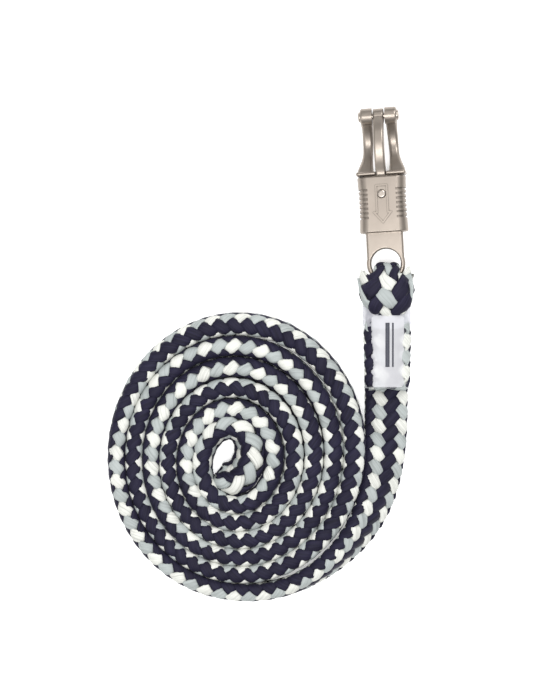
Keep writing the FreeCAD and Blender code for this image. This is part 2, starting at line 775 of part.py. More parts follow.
snap_place = Placement(Vector(0, 0, size("axis_height")),
                       Rotation(Vector(0, 1, 0), size("snap_roll")))
stud_place = snap_place.multiply(Placement(Vector(0, size("stud_y"), 0),
                                           Rotation(Vector(0, 1, 0), -90)))
spring_foot = Vector(0, size("slot_low") + size("spring_wire"), 0)
spring_place = snap_place.multiply(Placement(spring_foot, Rotation(Vector(1, 0, 0), -90)))
splice_place = Placement(Vector(0, size("eye_y") - (size("eye_hole") + size("eye_outer")) / 2, 0),
                         Rotation(Vector(0, 0, 1), size("splice_lean")))

stitches = stitch_shapes()
loop = eye_loop_shape().cut(stitches)
nodes = {
    "snap_frame": (make_snap_frame(), snap_place),
    "jaw_lever": (make_jaw_lever(), snap_place),
    "jaw_pivot_pin": (make_pivot_pin(),
                      snap_place.multiply(Placement(Vector(0, size("pivot_y"), 0), Rotation()))),
    "release_sleeve": (make_release_sleeve(), snap_place),
    "sleeve_stud": (make_sleeve_stud(), stud_place),
    "return_spring": (make_return_spring(), spring_place),
    "rope_eye_loop": (drawn("rope_eye_loop", loop), splice_place),
    "splice_stitching": (drawn("splice_stitching", Part.makeCompound(stitches)), splice_place),
    "shrink_sleeve": (drawn("shrink_sleeve", film_shape()), splice_place),
    "splice_label": (make_label(), splice_place),
    "rope_lead": (drawn("rope_lead", lead_shape()), Placement()),
    "rope_coil": (drawn("rope_coil", coil_shape()), Placement()),
}
doc.recompute()
for label, (item, place) in nodes.items():
    item.Label = label
    item.Placement = place
doc.recompute()

print(f"coil of 6.1 turns: {coil_length(6.1):.0f} mm")
for item in doc.Objects:
    if {"Invalid", "Error"} & set(item.State):
        raise RuntimeError(f"{item.Label} is in state {item.State}")
for label, (item, place) in nodes.items():
    if item.Shape.isNull() or not item.Shape.isValid():
        raise RuntimeError(f"{label} has no valid shape")

os.makedirs("parts", exist_ok=True)
for label, (item, place) in nodes.items():
    item.Shape.exportStep(os.path.join("parts", f"{label}.step"))
    limits = item.Shape.optimalBoundingBox(False)
    print(f"{label}: {len(item.Shape.Solids)} solid(s), {item.Shape.Volume:.0f} mm3, "
          f"x {limits.XMin:.2f}..{limits.XMax:.2f} y {limits.YMin:.2f}..{limits.YMax:.2f} "
          f"z {limits.ZMin:.2f}..{limits.ZMax:.2f}")
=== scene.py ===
import math

import bpy
import numpy as np
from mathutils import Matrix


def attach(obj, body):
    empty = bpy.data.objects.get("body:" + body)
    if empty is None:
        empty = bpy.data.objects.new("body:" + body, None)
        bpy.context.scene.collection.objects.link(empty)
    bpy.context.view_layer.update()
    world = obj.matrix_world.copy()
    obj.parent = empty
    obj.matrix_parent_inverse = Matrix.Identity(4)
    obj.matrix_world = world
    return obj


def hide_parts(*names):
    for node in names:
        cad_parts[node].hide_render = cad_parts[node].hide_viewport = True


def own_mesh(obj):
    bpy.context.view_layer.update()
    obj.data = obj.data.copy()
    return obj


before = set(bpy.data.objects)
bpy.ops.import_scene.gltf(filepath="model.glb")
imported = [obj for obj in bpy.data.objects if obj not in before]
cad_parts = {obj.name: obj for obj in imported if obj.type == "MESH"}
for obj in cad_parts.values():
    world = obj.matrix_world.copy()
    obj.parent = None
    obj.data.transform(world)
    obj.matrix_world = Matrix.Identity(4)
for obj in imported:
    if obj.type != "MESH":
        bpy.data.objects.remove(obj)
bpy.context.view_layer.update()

# ---- camera ---------------------------------------------------------------------------------

camera_data = bpy.data.cameras.new("camera")
camera_data.lens = 90
camera_data.sensor_width = 36
camera = bpy.data.objects.new("camera", camera_data)
camera.location = (-0.0699, -0.0862, 1.027)
camera.rotation_euler = (0, 0, math.radians(-3))
bpy.context.scene.collection.objects.link(camera)
bpy.context.scene.camera = camera

# ---- the rope's lines -----------------------------------------------------------------------

LEAN = math.radians(-3)             # the splice turns this much from the snap's axis
SNAP_ROLL = math.radians(-8)        # the snap leans this much to one side
BAR_Y, BAR_Z = -0.0496, 0.01198     # middle of the eye's bar
LOOP_RADIUS = 0.0076                # the rope's middle round the bar
SPLICE_LONG = 0.0624                # from the bar to the end of the shrink sleeve
SPLICE_LOW = 0.0051                 # height of the lower leg's middle in the splice
SPLICE_HIGH = 0.0139                # and of the tail's, above it

ROPE_WIDE, ROPE_THICK = 0.0240, 0.0100
LIE_FLAT, ON_EDGE = 0.005, 0.012    # height of the rope's middle
TWIST_START = 0.025                 # past the splice, where the rope begins to turn on edge
TWIST_LONG = 0.158                  # length over which it turns

COIL_TURNS = 6.1
COIL_STEPS = 20                     # control points a turn
COIL_MIDDLE = (-0.0901, -0.1446)    # of the outermost turn
COIL_WIDE, WIDE_STEP = 0.0737, 0.0106   # half the coil's width, and what each turn takes off it
COIL_LONG, LONG_STEP = 0.0799, 0.0110   # and its length
DRIFT_X, DRIFT_Y = -0.00075, -0.00104   # each turn's middle, from the one outside it
HOLE_X, HOLE_Y = -0.01015, 0.00017      # middle of the hole, from COIL_MIDDLE
HOLE_SHARE = 0.7                    # how near to it the innermost turn's middle comes
BULGE = 0.0012                      # of the outermost turn at its upper right
OUTER_LEAN = -7                     # degrees that the rope leans outward there
INNER_LEAN = 26                     # and in the innermost turn

# Free part of the rope, from the shrink sleeve to the start of the coil.
LEAD_ROUTE = [
    (-0.0033, -0.1120),
    (-0.0045, -0.1338),
    (-0.0073, -0.1555),
    (-0.0129, -0.1765),
    (-0.0236, -0.1949),
    (-0.0386, -0.2096),
    (-0.0562, -0.2204),
    (-0.0747, -0.2255),
]


def smooth(x):
    """0 up to 0, 1 from 1 on, and a soft rise between them."""
    x = np.clip(x, 0, 1)
    return x * x * (3 - 2 * x)


def leaned(x, y, z):
    """A point near the splice, measured from the eye's bar along the splice."""
    return (x * math.cos(LEAN) - y * math.sin(LEAN),
            BAR_Y + x * math.sin(LEAN) + y * math.cos(LEAN), z)


def upper_right(turns):
    """1 where the outermost turn bulges at its upper right, 0 elsewhere."""
    return smooth((turns - 0.38) / 0.2) * smooth((0.95 - turns) / 0.25)


def coil_lean(turns):
    """How far the rope leans outward from upright in the coil."""
    return (math.radians(INNER_LEAN) * smooth(turns - 5)
            + math.radians(OUTER_LEAN) * upper_right(turns))


def coil_point(turns, outward=1.0):
    """The coil's line this many turns in from its outer end. It is a flattened spiral."""
    phase = 2 * math.pi * turns
    bulge = BULGE * float(upper_right(turns))
    wide = (COIL_WIDE - WIDE_STEP * turns + bulge) * outward
    long = (COIL_LONG - LONG_STEP * turns + bulge) * outward
    x = DRIFT_X * turns - wide * math.sin(phase)
    y = DRIFT_Y * turns - long * math.cos(phase)
    x, y = (x * math.cos(LEAN) - y * math.sin(LEAN), x * math.sin(LEAN) + y * math.cos(LEAN))
    # the innermost turn closes in on the coil's hole
    inner = HOLE_SHARE * float(smooth((turns - 5.25) / 0.75))
    x += COIL_MIDDLE[0] + inner * (HOLE_X - DRIFT_X * turns)
    y += COIL_MIDDLE[1] + inner * (HOLE_Y - DRIFT_Y * turns)
    return x, y


def edge_tilt(s):
    """How far the rope has turned onto its edge, this far from the eye's bar."""
    share = np.clip((s - SPLICE_LONG - TWIST_START) / TWIST_LONG, 0, 1)
    return math.pi / 2 * np.sin(math.pi / 2 * share)


def height_of(tilt):
    """Height of the rope's middle where it is turned this far onto its edge."""
    return LIE_FLAT + (ON_EDGE - LIE_FLAT) * math.sin(tilt)


def read_spline(name, points):
    """Points along the smooth spline that has these control points."""
    data = bpy.data.curves.new(name, "CURVE")
    data.dimensions = "3D"
    data.resolution_u = 12
    spline = data.splines.new("NURBS")
    spline.points.add(len(points) - 1)
    for control, place in zip(spline.points, points):
        control.co = (*place, 1)
    spline.order_u = 3
    spline.use_endpoint_u = True
    carrier = bpy.data.objects.new(name, data)
    bpy.context.scene.collection.objects.link(carrier)
    mesh = bpy.data.meshes.new_from_object(carrier)
    line = np.array([v.co[:] for v in mesh.vertices])
    bpy.data.objects.remove(carrier)
    bpy.data.meshes.remove(mesh)
    keep = np.r_[True, np.linalg.norm(np.diff(line, axis=0), axis=1) > 1e-6]
    return line[keep]


def lengths(line):
    """How far along the line each of its points is."""
    return np.r_[0, np.cumsum(np.linalg.norm(np.diff(line, axis=0), axis=1))]


def unit(v):
    """The same directions at length 1."""
    return v / np.maximum(np.linalg.norm(v, axis=-1, keepdims=True), 1e-12)


def lead_line():
    """From under the eye's bar through the splice and the free run to the end of the coil."""
    points = [leaned(0.001057, 0, 0.004454), leaned(0.0003, -0.010, SPLICE_LOW),
              leaned(0, -0.028, SPLICE_LOW), leaned(0, -0.046, SPLICE_LOW),
              (*LEAD_ROUTE[0], SPLICE_LOW)]
    travelled = SPLICE_LONG
    for before, here in zip(LEAD_ROUTE, LEAD_ROUTE[1:]):
        travelled += math.dist(before, here)
        points.append((*here, height_of(edge_tilt(travelled))))
    # a spline passes inside its control points, so these lie outside the coil's line
    outside = 1 / math.cos(math.pi / COIL_STEPS)
    count = round(COIL_TURNS * COIL_STEPS)
    for n in range(count + 1):
        turns = n / COIL_STEPS
        tilt = math.pi / 2 + float(coil_lean(turns))
        points.append((*coil_point(turns, outside), height_of(tilt)))
    return read_spline("rope_route", points)


def tail_line():
    """From the end of the tail inside the splice, over the eye's bar and round to under it."""
    def rolled(y, z):
        """A point near the bar, which leans with the snap."""
        return leaned((z - BAR_Z) * math.tan(SNAP_ROLL) * math.exp(-(y / 0.010) ** 2), y, z)

    points = [leaned(0, -0.0620, 0.0137), leaned(0, -0.045, SPLICE_HIGH),
              leaned(0, -0.030, SPLICE_HIGH), leaned(0, -0.0235, SPLICE_HIGH),
              rolled(-0.0185, 0.0150), rolled(-0.0140, 0.0190),
              rolled(-0.0095, 0.0203), rolled(-0.0045, 0.0203)]
    steps = 6
    outside = LOOP_RADIUS / math.cos(math.pi / steps / 2)
    for n in range(steps):
        turned = math.pi * (n + 0.5) / steps
        points.append(rolled(outside * math.sin(turned), BAR_Z + outside * math.cos(turned)))
    points.append(rolled(0, BAR_Z - LOOP_RADIUS))
    return read_spline("tail_route", points)


class Line:
    """A rope's middle line and its directions: ahead, across, and out of its top face."""

    def __init__(self, points, s, across, folds=None):
        self.s, self.points, self.folds = s, points, folds
        self.ahead = unit(np.gradient(points, s, axis=0))
        across = across - self.ahead * np.sum(across * self.ahead, axis=1)[:, None]
        self.across = unit(across)

    def folded(self, s):
        """How far the rope's edges are folded forward, 0 to 1."""
        return np.interp(s, *self.folds) if self.folds else 0 * s

    def at(self, s):
        """The point and the three directions at these places."""
        def read(rows):
            return np.stack([np.interp(s, self.s, rows[:, k]) for k in range(3)], axis=-1)

        ahead, across = unit(read(self.ahead)), unit(read(self.across))
        return read(self.points), ahead, across, unit(np.cross(across, ahead))


lead_points = lead_line()
lead_s = lengths(lead_points)
ROPE_END = float(lead_s[-1])


def station(turns):
    """How far along the rope this place of the coil is."""
    beside = np.array(coil_point(turns))
    return float(lead_s[np.argmin(np.linalg.norm(lead_points[:, :2] - beside, axis=1))])


quarters = np.arange(4 * int(COIL_TURNS) + 1) / 4
coil_turns = np.interp(lead_s, [station(turns) for turns in quarters], quarters)
tilt = edge_tilt(lead_s) + coil_lean(coil_turns)
going = unit(np.gradient(lead_points, lead_s, axis=0))
level = unit(np.stack([going[:, 1], -going[:, 0], 0 * lead_s], axis=1))
lead = Line(lead_points, lead_s,
            level * np.cos(tilt)[:, None] + np.array([0, 0, 1.0]) * np.sin(tilt)[:, None])

tail_points = tail_line()
tail_s = lengths(tail_points)
tail_s -= tail_s[-1]
near_bar = SNAP_ROLL * smooth((tail_s + 0.046) / 0.022)
tail = Line(tail_points, tail_s, -np.stack([
    np.cos(near_bar) * math.cos(LEAN), np.cos(near_bar) * math.sin(LEAN), -np.sin(near_bar),
], axis=1), folds=((-0.038, -0.031, -0.0235, -0.019), (0, 1, 1, 0)))

# ---- the braid ------------------------------------------------------------------------------

BRAID_PITCH = 0.066             # length in which a strand goes once round the rope
TAIL_PITCH = 0.072              # and in the tail
STRAND_WIDE, STRAND_THICK = 0.0068, 0.0026
STRANDS = 8                     # each way
COLUMNS = 4                     # of floats, round the rope
RING = 8                        # points round a strand
CORE_RING = 20                  # and round the core
FIRST_FLOAT = 0.0682            # a white strand is at its highest on the top face here
TAIL_AHEAD = 0.0033             # the tail's braid is this much further on
NAVY_SHARE = 0.15               # the navy floats are this much the longer
CROWN = 2.4                     # how flat the top of a float is
DIP = 1.75                      # a strand goes in and out by its thickness over this
FLOAT_ENDS, FLOAT_BELLY = 0.68, 0.36    # width at a float's ends, and what its middle adds
RINGS = 6.5                     # of points, in an eighth of a strand's pitch
SQUARE = 3.6                    # how square the rope's section is

# Behind the eye the rope's edges fold forward and down.
FOLD_FROM, FOLD_OVER = 0.0088, 0.0062   # from the middle line, and the width that it takes
FOLD_FORWARD, FOLD_DOWN = 0.0085, 0.0042
EDGE_FROM, EDGE_OVER = 0.0130, 0.0035   # from here out the edge comes half as far forward

# The turns lie closest together at the bottom and the left: thickness at each quarter turn.
QUARTER_THICK = (0.0109, 0.0107, 0.0121, 0.0115)
BULGE_THICK = 0.0014            # more where the outermost turn bulges
# The rope is thicker in the innermost turn: turns, thickness.
INNER_THICK = ((5.25, 0.0115), (5.5, 0.0130), (5.75, 0.0155), (6, 0.0155))

# Along the rope: place, width, thickness.
LEAD_SECTIONS = np.array([
    (0.000, 0.0138, 0.0066), (0.008, 0.0210, 0.0084), (0.016, 0.0240, 0.0090),
    (0.062, 0.0244, 0.0092), (0.080, 0.0247, ROPE_THICK), (0.130, 0.0245, ROPE_THICK),
] + [
    (station(n / 4), ROPE_WIDE, QUARTER_THICK[n % 4] + BULGE_THICK * float(upper_right(n / 4)))
    for n in range(21)
] + [
    (station(turns), ROPE_WIDE, thick) for turns, thick in INNER_THICK
])
TAIL_SECTIONS = np.array([
    (-0.100, 0.0250, 0.0080), (-0.075, 0.0256, 0.0082), (-0.055, 0.0266, 0.0084),
    (-0.0510, 0.0250, 0.0080), (-0.0470, 0.0190, 0.0080), (-0.0440, 0.0170, 0.0084),
    (-0.0410, 0.0215, 0.0092), (-0.0375, 0.0280, 0.0102), (-0.0335, 0.0315, 0.0106),
    (-0.0290, 0.0318, 0.0102), (-0.0262, 0.0290, 0.0092), (-0.0238, 0.0225, 0.0080),
    (-0.0210, 0.0160, 0.0070), (-0.014, 0.0144, 0.0066), (0.000, 0.0138, 0.0066),
])

# How far the braid is turned round the rope, as a share of the way round: place, share. In the
# coil the list has turns and the middle of a white column, and one column less is the same braid.
TURNED = np.array(
    [(0.0, 0.0), (SPLICE_LONG, 0.0)]
    + [(station(turns), middle - 1 / COLUMNS) for turns, middle in (
        (0, 0.125), (0.25, 0.06), (0.31, -0.02), (0.38, -0.065), (0.5, -0.08), (0.8, -0.078),
        (1, -0.05), (1.25, -0.05), (1.38, -0.12), (1.5, -0.195), (1.75, -0.285), (2, -0.3125),
        (2.25, -0.205), (2.5, -0.21), (2.8, -0.31), (3, -0.295), (3.25, -0.33), (3.5, -0.33),
        (3.75, -0.34), (4, -0.3125), (4.25, -0.215), (4.5, -0.1875), (4.75, -0.215), (5, -0.305),
        (5.25, -0.35), (5.5, -0.42), (5.75, -0.445), (6, -0.455))]
)
TAIL_TURNED = np.array([
    (-0.100, 0.125), (-0.060, 0.125), (-0.044, 0.0625), (-0.020, 0.0625), (0.0, 0.0)])


def outline():
    """Share of the way round, across and out, of the rope's outline with half sizes of 1."""
    angle = np.linspace(0, 2 * math.pi, 1441)
    across = np.sign(np.sin(angle)) * np.abs(np.sin(angle)) ** (2 / SQUARE)
    out = np.sign(np.cos(angle)) * np.abs(np.cos(angle)) ** (2 / SQUARE)
    # the way round is measured on a rope this flat
    way = lengths(np.stack([across, out * 0.45], axis=1))
    return way / way[-1], across, out


SHARE, ACROSS, OUT = outline()


def closing(s, ends):
    """1 along the rope, falling to nothing over the last stretch to a bare end."""
    end, reach = ends
    gone = np.clip((reach - np.abs(end - s)) / reach, 0, 1)
    return np.sqrt(np.clip(1 - gone ** 2, 0.0025, 1))


def on_rope(line, sections, ends, s, share, inset):
    """Points on the rope's outline, this far inside it."""
    point, ahead, across, out = line.at(s)
    scale = closing(s, ends)
    half_wide = (np.interp(s, sections[:, 0], sections[:, 1]) / 2 - inset) * scale
    half_thick = (np.interp(s, sections[:, 0], sections[:, 2]) / 2 - inset) * scale
    share = share % 1.0
    x = np.interp(share, SHARE, ACROSS) * half_wide
    y = np.interp(share, SHARE, OUT) * half_thick
    fold = line.folded(s) * smooth((np.abs(x) - FOLD_FROM) / FOLD_OVER)
    reach = FOLD_FORWARD * fold * (1 - 0.5 * smooth((np.abs(x) - EDGE_FROM) / EDGE_OVER))
    forward = ahead * reach[:, None] - np.array([0, 0, FOLD_DOWN]) * fold[:, None]
    return point + across * x[:, None] + out * y[:, None] + forward


def strand_mesh(line, sections, ends, turned, start, stop, way, phase, over):
    """One strand as rings of points: way is its sense round the rope, over is 1 for the white
    and grey strands and -1 for the navy ones, which lie outside where the others lie inside."""
    # places along the tail are less than 0
    pitch, further = (TAIL_PITCH, TAIL_AHEAD) if stop <= 0 else (BRAID_PITCH, 0)
    count = int((stop - start) / (pitch / STRANDS) * RINGS)
    s = np.linspace(start, stop, count)
    braid = way * (s - FIRST_FLOAT + further) / pitch + phase
    wave = np.sin(COLUMNS * 2 * math.pi * braid)
    lift = np.tanh(CROWN * (wave - NAVY_SHARE)) / math.tanh(CROWN) * over
    scale = closing(s, ends)
    # thinner where it goes round the bar
    thick = STRAND_THICK * np.interp(s, (-0.030, -0.024, 0, 0.014), (1, 0.72, 0.72, 1))
    shift = np.interp(s, turned[:, 0], turned[:, 1])
    share = braid - shift
    inset = thick - lift * thick / DIP
    middle = on_rope(line, sections, ends, s, share, inset)
    round_way = (on_rope(line, sections, ends, s, share + 0.004, inset)
                 - on_rope(line, sections, ends, s, share - 0.004, inset))
    ahead = line.at(s)[1]
    out = unit(np.cross(round_way, ahead))
    direction = unit(np.gradient(middle, s, axis=0))
    side = unit(np.cross(direction, out))
    out = unit(np.cross(side, direction))
    wide = np.interp(s, sections[:, 0], sections[:, 1]) / ROPE_WIDE * STRAND_WIDE
    # each float is widest in its middle
    belly = 0.5 + 0.5 * wave * over
    wide = wide * (FLOAT_ENDS + FLOAT_BELLY * belly) * scale ** 0.6
    angle = -np.arange(RING) * 2 * math.pi / RING
    rings = (middle[:, None, :]
             + side[:, None, :] * (wide[:, None] / 2 * np.cos(angle))[:, :, None]
             + out[:, None, :] * ((thick * scale ** 0.5)[:, None] / 2 * np.sin(angle))[:, :, None])
    return rings, s


def core_mesh(line, sections, ends, start, stop):
    """The dark core inside the braid, as rings of points."""
    s = np.linspace(start, stop, int((stop - start) / 0.003))
    lines = [on_rope(line, sections, ends, s, np.full(len(s), k / CORE_RING), STRAND_THICK)
             for k in range(CORE_RING)]
    return np.stack(lines, axis=1), s


def tube_faces(rings, first):
    """Faces of a tube through these rings, and each face's ring and its place in the ring."""
    count, around = rings.shape[:2]
    k, j = np.meshgrid(np.arange(count - 1), np.arange(around), indexing="ij")
    after = (j + 1) % around
    quads = np.stack([k * around + j, k * around + after,
                      (k + 1) * around + after, (k + 1) * around + j], axis=-1)
    return quads.reshape(-1, 4) + first, k.ravel(), j.ravel()


def new_object(name, points, faces, materials, uvs=None, picks=None, soft=True):
    """A mesh object. picks has each face's material and soft is for smooth shading."""
    mesh = bpy.data.meshes.new(name)
    mesh.from_pydata(points.tolist(), [], faces)
    for material in materials:
        mesh.materials.append(material)
    if picks is not None:
        mesh.polygons.foreach_set("material_index", picks)
    if uvs is not None:
        mesh.uv_layers.new(name="along").data.foreach_set("uv", np.asarray(uvs).ravel())
    mesh.polygons.foreach_set("use_smooth", [soft] * len(mesh.polygons))
    mesh.update()
    piece = bpy.data.objects.new(name, mesh)
    bpy.context.scene.collection.objects.link(piece)
    return piece


def braid(name, line, sections, ends, turned, start, stop, materials):
    """The whole braid: eight strands each way and the core, as one piece."""
    tubes = []
    for n in range(STRANDS):
        # white and grey strands go one way round, navy ones the other and half a space behind
        phase = (n + 0.5) / STRANDS
        tubes.append((*strand_mesh(line, sections, ends, turned, start, stop, -1, phase, 1), n % 2))
        phase = n / STRANDS
        tubes.append((*strand_mesh(line, sections, ends, turned, start, stop, 1, phase, -1), 2))
    tubes.append((*core_mesh(line, sections, ends, start, stop), 3))
    points, faces, picks, uvs, first = [], [], [], [], 0
    for rings, s, pick in tubes:
        count, around = rings.shape[:2]
        quads, k, j = tube_faces(rings, first)
        corners = np.stack([
            np.stack([j / around, s[k]], -1), np.stack([(j + 1) / around, s[k]], -1),
            np.stack([(j + 1) / around, s[k + 1]], -1), np.stack([j / around, s[k + 1]], -1),
        ], axis=1)
        caps = [[first + n for n in reversed(range(around))],
                [first + (count - 1) * around + n for n in range(around)]]
        cap_uv = [[(n / around, s[0]) for n in reversed(range(around))],
                  [(n / around, s[-1]) for n in range(around)]]
        faces += quads.tolist() + caps
        uvs += [corners.reshape(-1, 2), np.array(cap_uv).reshape(-1, 2)]
        picks += [pick] * (len(quads) + 2)
        points.append(rings.reshape(-1, 3))
        first += count * around
    return new_object(name, np.concatenate(points), faces, materials, np.concatenate(uvs), picks)


# ---- materials ------------------------------------------------------------------------------

class Shader:
    """A material with a Principled shader and short ways to add nodes."""

    def __init__(self, name, **values):
        self.material = bpy.data.materials.new(name)
        self.material.use_nodes = True
        self.tree = self.material.node_tree
        self.shader = self.tree.nodes["Principled BSDF"]
        for socket, value in values.items():
            self.shader.inputs[socket.replace("_", " ")].default_value = value

    def node(self, kind, inputs=None, **settings):
        node = self.tree.nodes.new(kind)
        for key, value in settings.items():
            setattr(node, key, value)
        for socket, value in (inputs or {}).items():
            if isinstance(value, bpy.types.NodeSocket):
                self.tree.links.new(value, node.inputs[socket])
            else:
                node.inputs[socket].default_value = value
        return node

    def link(self, output, socket):
        self.tree.links.new(output, self.shader.inputs[socket])

    def ramp(self, factor, stops):
        node = self.node("ShaderNodeValToRGB", {"Fac": factor})
        elements = node.color_ramp.elements
        while len(elements) < len(stops):
            elements.new(0.5)
        for element, (place, colour) in zip(elements, stops):
            element.position = place
            element.color = (*colour, 1)
        return node.outputs["Color"]

    def noise(self, vector, scale, detail=3.0, roughness=0.5):
        node = self.node("ShaderNodeTexNoise", {
            "Vector": vector, "Scale": scale, "Detail": detail, "Roughness": roughness})
        return node.outputs["Fac"]

    def stretched(self, source, scale):
        return self.node("ShaderNodeMapping", {"Vector": source, "Scale": scale}).outputs["Vector"]


def linear(colour):
    """An sRGB colour of 0 to 255 as the shader wants it."""
    return tuple((c / 255 / 12.92) if c <= 10 else ((c / 255 + 0.055) / 1.055) ** 2.4
                 for c in colour)


def shade(colour, amount):
    """A darker or lighter colour."""
    return tuple(c * amount for c in colour)


def strand_material(name, colour, dark=0.72, light=1.08):
    """Fine lengthwise filaments, with a soft sheen."""
    base = linear(colour)
    make = Shader(name, Roughness=0.62, Specular_IOR_Level=0.15,
                  Sheen_Weight=0.03, Sheen_Roughness=0.4)
    where = make.node("ShaderNodeUVMap", uv_map="along").outputs["UV"]
    fibres = make.noise(make.stretched(where, (20, 45, 1)), 1.0, 4.0, 0.65)
    patches = make.noise(make.stretched(where, (2, 70, 1)), 1.0, 2.0)
    both = make.node("ShaderNodeMix", {"Factor": 0.3, "A": fibres, "B": patches},
                     data_type="FLOAT").outputs["Result"]
    stops = [(0.36, shade(base, dark)), (0.50, base), (0.66, shade(base, light))]
    make.link(make.ramp(both, stops), "Base Color")
    bump = make.node("ShaderNodeBump", {"Height": fibres, "Strength": 0.7, "Distance": 0.0003})
    make.link(bump.outputs["Normal"], "Normal")
    return make.material


def metal_material(name, colour, rough=0.3, grain=(900, 900, 900), bumpy=0.12):
    """Satin plated metal: fine grain, slightly uneven gloss, and painted shade in its corners."""
    base = linear(colour)
    make = Shader(name, Metallic=1.0)
    where = make.node("ShaderNodeTexCoord").outputs["Object"]
    fine = make.noise(make.stretched(where, grain), 1.0, 3.0, 0.6)
    broad = make.noise(where, 70.0, 3.0)
    plain = make.ramp(broad, [(0.3, shade(base, 0.90)), (0.7, shade(base, 1.05))])
    # painted shade: ambient occlusion darkens the colour in corners and round raised marks
    corners = make.node("ShaderNodeAmbientOcclusion", {"Distance": 0.0012}, samples=8,
                        only_local=True).outputs["AO"]
    painted_corner_shade = make.ramp(corners, [(0.35, (0.25, 0.24, 0.23)), (0.85, (1, 1, 1))])
    # sockets 6, 7 and 2 are the Mix node's two colours and its colour result
    shaded = make.node("ShaderNodeMix", {"Factor": 1.0, 6: plain, 7: painted_corner_shade},
                       data_type="RGBA", blend_type="MULTIPLY").outputs[2]
    make.link(shaded, "Base Color")
    gloss = make.node("ShaderNodeMapRange", {
        "Value": fine, "To Min": rough - 0.06, "To Max": rough + 0.08})
    make.link(gloss.outputs["Result"], "Roughness")
    bump = make.node("ShaderNodeBump", {"Height": fine, "Strength": bumpy, "Distance": 0.0001})
    make.link(bump.outputs["Normal"], "Normal")
    return make.material


def film_material(name, colour, clear, rough, rim=0.45):
    """Thin plastic film, more visible at its edges."""
    make = Shader(name, Base_Color=(*linear(colour), 1), Roughness=rough, IOR=1.45)
    where = make.node("ShaderNodeTexCoord").outputs["Object"]
    facing = make.node("ShaderNodeLayerWeight", {"Blend": 0.35}).outputs["Facing"]
    alpha = make.node("ShaderNodeMapRange", {
        "Value": facing, "To Min": clear, "To Max": min(1.0, clear + rim)})
    make.link(alpha.outputs["Result"], "Alpha")
    creases = make.noise(make.stretched(where, (500, 120, 500)), 1.0, 3.0)
    bump = make.node("ShaderNodeBump", {"Height": creases, "Strength": 0.25, "Distance": 0.0003})
    make.link(bump.outputs["Normal"], "Normal")
    return make.material


white = strand_material("strand_white", (210, 211, 205), 0.68, 1.04)
grey = strand_material("strand_grey", (162, 168, 167), 0.70, 1.12)
navy = strand_material("strand_navy", (30, 28, 46), 0.55, 1.5)
core = strand_material("strand_core", (36, 35, 50), 0.7)
thread = strand_material("thread", (225, 225, 220), 0.85)
strands = [white, grey, navy, core]

nickel = metal_material("nickel", (150, 141, 132), 0.38, bumpy=0.05)
nickel_turned = metal_material("nickel_turned", (150, 141, 132), 0.40, bumpy=0.05)
nickel_bright = metal_material("nickel_bright", (172, 163, 154), 0.30)
spring_steel = metal_material("spring_steel", (150, 150, 152), 0.25, (2000, 2000, 2000))

# ---- rope -----------------------------------------------------------------------------------

rope = braid("rope", lead, LEAD_SECTIONS, (ROPE_END, 0.008), TURNED, 0.0, ROPE_END, strands)
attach(rope, "rope")
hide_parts("rope_lead", "rope_coil")

rope_tail = braid("rope_tail", tail, TAIL_SECTIONS, (float(tail_s[0]), 0.0015), TAIL_TURNED,
                  float(tail_s[0]), 0.0, strands)
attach(rope_tail, "rope")
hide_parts("rope_eye_loop")

# ---- shrink sleeve and label ----------------------------------------------------------------

FILM_START, FILM_LONG = -0.0196, 0.0428     # its upper edge, along the splice, and its length
FILM_HALF, FILM_TALL = 0.0140, 0.0189       # half width and height at its upper edge
FILM_WALL = 0.00035
FILM_SQUARE = 2.9               # how square its section is
FILM_FOOT = 0.0002              # its underside is this far up
LIP_ROWS = 9                    # the upper edge is cloudier over this many rows of faces
MOUTH_REACH = 0.0085            # the upper edge reaches this much further at the sides


def film_section(y):
    """Half width and height of the film at this place along the splice."""
    t = (FILM_START - y) / FILM_LONG
    half = FILM_HALF - 0.0011 * smooth(t * 1.6) + 0.0003 * smooth((t - 0.93) / 0.07)
    return half, FILM_TALL - 0.0006 * smooth(t * 1.4)


def film_point(y, share, depth):
    """A point on the film, this share of the way round and this far inside its outer face."""
    half, tall = film_section(y)
    angle = 2 * math.pi * share
    ripple = (0.00012 * math.sin(1400 * y + 9 * math.sin(angle))
              + 0.00010 * math.sin(11 * angle + 300 * y))
    grow = ripple - depth
    across = math.copysign(abs(math.sin(angle)) ** (2 / FILM_SQUARE), math.sin(angle))
    out = math.copysign(abs(math.cos(angle)) ** (2 / FILM_SQUARE), math.cos(angle))
    return leaned((half + grow) * across, y, tall / 2 + (tall / 2 - FILM_FOOT + grow) * out)


def film_piece(around=72, along=46):
    """The shrink sleeve: an outer and an inner face, joined at both edges."""
    points, faces, picks = [], [], []
    for depth in (0.0, FILM_WALL):
        for k in range(along):
            t = k / (along - 1)
            for j in range(around):
                reach = MOUTH_REACH * abs(math.sin(2 * math.pi * j / around)) ** 1.6
                y = FILM_START - FILM_LONG * t + reach * (1 - t) ** 6
                points.append(film_point(y, j / around, depth))
    inner = along * around
    for k in range(along - 1):
        for j in range(around):
            a, b = k * around + j, k * around + (j + 1) % around
            picks += [int(k < LIP_ROWS)] * 2
            faces.append((b, a, a + around, b + around))
            faces.append((inner + a, inner + b, inner + b + around, inner + a + around))
    last = (along - 1) * around
    for j in range(around):
        a, b = j, (j + 1) % around
        faces.append((b, inner + b, inner + a, a))
        faces.append((last + a, inner + last + a, inner + last + b, last + b))
        picks += [1, 0]
    return new_object("film", np.array(points), faces,
                      [film_material("clear_film", (236, 238, 240), 0.05, 0.25),
                       film_material("film_lip", (230, 230, 238), 0.34, 0.4, 0.15)], picks=picks)


film = film_piece()
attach(film, "rope")
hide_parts("shrink_sleeve")

